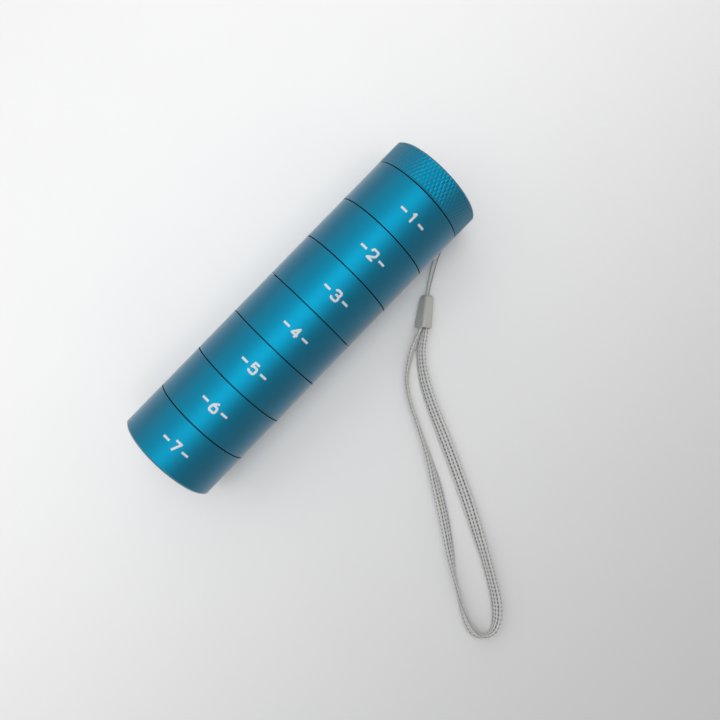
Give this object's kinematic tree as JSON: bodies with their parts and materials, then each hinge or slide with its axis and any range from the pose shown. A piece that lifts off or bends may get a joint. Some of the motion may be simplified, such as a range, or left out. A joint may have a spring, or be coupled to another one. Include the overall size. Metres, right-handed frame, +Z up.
{
  "type": "weekly pill organizer",
  "caption": "Round anodised aluminium tube of stacked pill cups that screw into one another under a knurled cap, with rubber seals and a wrist lanyard of woven tape.",
  "frame": {"origin": "on the table under the middle of the lying tube", "axes": "+X along the tube towards its cap, +Z up from the table, lanyard on the -Y side"},
  "size_m": [0.1156, 0.1281, 0.032],
  "materials": {
    "anodised_blue": "satin anodised blue",
    "seal_rubber": "matte",
    "string_nylon": "twisted nylon",
    "sleeve_plastic": "fine satin moulding",
    "strap_tape": "woven tape"
  },
  "bodies": {
    "cap": {"cap": "anodised_blue", "lanyard_string": "string_nylon", "lanyard_sleeve": "sleeve_plastic", "wrist_strap": "strap_tape"},
    "sunday_seal": {"sunday_seal": "seal_rubber"},
    "sunday_cup": {"sunday_cup": "anodised_blue"},
    "monday_seal": {"monday_seal": "seal_rubber"},
    "monday_cup": {"monday_cup": "anodised_blue"},
    "tuesday_seal": {"tuesday_seal": "seal_rubber"},
    "tuesday_cup": {"tuesday_cup": "anodised_blue"},
    "wednesday_seal": {"wednesday_seal": "seal_rubber"},
    "wednesday_cup": {"wednesday_cup": "anodised_blue"},
    "thursday_seal": {"thursday_seal": "seal_rubber"},
    "thursday_cup": {"thursday_cup": "anodised_blue"},
    "friday_seal": {"friday_seal": "seal_rubber"},
    "friday_cup": {"friday_cup": "anodised_blue"},
    "saturday_seal": {"saturday_seal": "seal_rubber"},
    "saturday_cup": {"saturday_cup": "anodised_blue"}
  },
  "joints": [
    {"name": "sunday_lift", "type": "slide", "parent": "cap", "child": "sunday_seal", "axis": [-1, 0, 0], "range_m": [0, 0.004]},
    {"name": "sunday_twist", "type": "hinge", "parent": "sunday_seal", "child": "sunday_cup", "pos_m": [0.0493, 0, 0.016], "axis": [-1, 0, 0], "range_deg": [0, 720]},
    {"name": "monday_lift", "type": "slide", "parent": "sunday_cup", "child": "monday_seal", "axis": [-1, 0, 0], "range_m": [0, 0.004]},
    {"name": "monday_twist", "type": "hinge", "parent": "monday_seal", "child": "monday_cup", "pos_m": [0.034, 0, 0.016], "axis": [-1, 0, 0], "range_deg": [0, 720]},
    {"name": "tuesday_lift", "type": "slide", "parent": "monday_cup", "child": "tuesday_seal", "axis": [-1, 0, 0], "range_m": [0, 0.004]},
    {"name": "tuesday_twist", "type": "hinge", "parent": "tuesday_seal", "child": "tuesday_cup", "pos_m": [0.0187, 0, 0.016], "axis": [-1, 0, 0], "range_deg": [0, 720]},
    {"name": "wednesday_lift", "type": "slide", "parent": "tuesday_cup", "child": "wednesday_seal", "axis": [-1, 0, 0], "range_m": [0, 0.004]},
    {"name": "wednesday_twist", "type": "hinge", "parent": "wednesday_seal", "child": "wednesday_cup", "pos_m": [0.0034, 0, 0.016], "axis": [-1, 0, 0], "range_deg": [0, 720]},
    {"name": "thursday_lift", "type": "slide", "parent": "wednesday_cup", "child": "thursday_seal", "axis": [-1, 0, 0], "range_m": [0, 0.004]},
    {"name": "thursday_twist", "type": "hinge", "parent": "thursday_seal", "child": "thursday_cup", "pos_m": [-0.0119, 0, 0.016], "axis": [-1, 0, 0], "range_deg": [0, 720]},
    {"name": "friday_lift", "type": "slide", "parent": "thursday_cup", "child": "friday_seal", "axis": [-1, 0, 0], "range_m": [0, 0.004]},
    {"name": "friday_twist", "type": "hinge", "parent": "friday_seal", "child": "friday_cup", "pos_m": [-0.0272, 0, 0.016], "axis": [-1, 0, 0], "range_deg": [0, 720]},
    {"name": "saturday_lift", "type": "slide", "parent": "friday_cup", "child": "saturday_seal", "axis": [-1, 0, 0], "range_m": [0, 0.004]},
    {"name": "saturday_twist", "type": "hinge", "parent": "saturday_seal", "child": "saturday_cup", "pos_m": [-0.0425, 0, 0.016], "axis": [-1, 0, 0], "range_deg": [0, 720]}
  ],
  "couplings": [
    {"joint": "sunday_lift", "follows": "sunday_twist", "m_per_rad": 0.000318},
    {"joint": "monday_lift", "follows": "monday_twist", "m_per_rad": 0.000318},
    {"joint": "tuesday_lift", "follows": "tuesday_twist", "m_per_rad": 0.000318},
    {"joint": "wednesday_lift", "follows": "wednesday_twist", "m_per_rad": 0.000318},
    {"joint": "thursday_lift", "follows": "thursday_twist", "m_per_rad": 0.000318},
    {"joint": "friday_lift", "follows": "friday_twist", "m_per_rad": 0.000318},
    {"joint": "saturday_lift", "follows": "saturday_twist", "m_per_rad": 0.000318}
  ]
}
